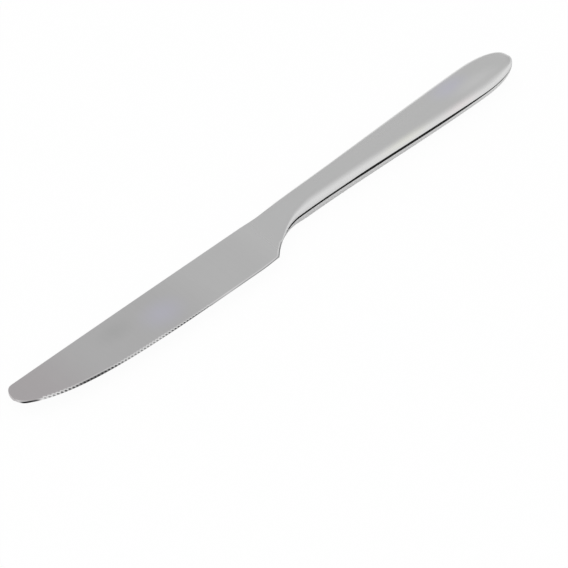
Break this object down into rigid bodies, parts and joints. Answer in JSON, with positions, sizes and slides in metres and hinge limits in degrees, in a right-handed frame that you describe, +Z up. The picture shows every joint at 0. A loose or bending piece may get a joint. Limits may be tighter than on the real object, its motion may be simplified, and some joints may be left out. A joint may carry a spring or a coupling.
{
  "type": "table knife",
  "caption": "Stainless table knife with a finely serrated rounded blade, a concave heel and a hollow handle of two half shells that widens to a rounded butt.",
  "frame": {"origin": "centre of the knife's length and width, in the plane that the lower shell's flat belly rests on", "axes": "+X from the tip to the butt of the handle, +Y from the cutting edge to the back, +Z up through the thickness, with the knife lying on its side"},
  "size_m": [0.22, 0.0194, 0.0084],
  "materials": {
    "blade_steel": "satin, fine grain across the blade",
    "handle_steel": "satin, polished shoulders",
    "setting_cement": "matt, set cement",
    "braze": "dark, recessed joint line"
  },
  "bodies": {
    "root": {"blade": "blade_steel", "upper_handle_shell": "handle_steel", "lower_handle_shell": "handle_steel", "handle_filler": "setting_cement", "braze_seam": "braze"}
  },
  "joints": []
}
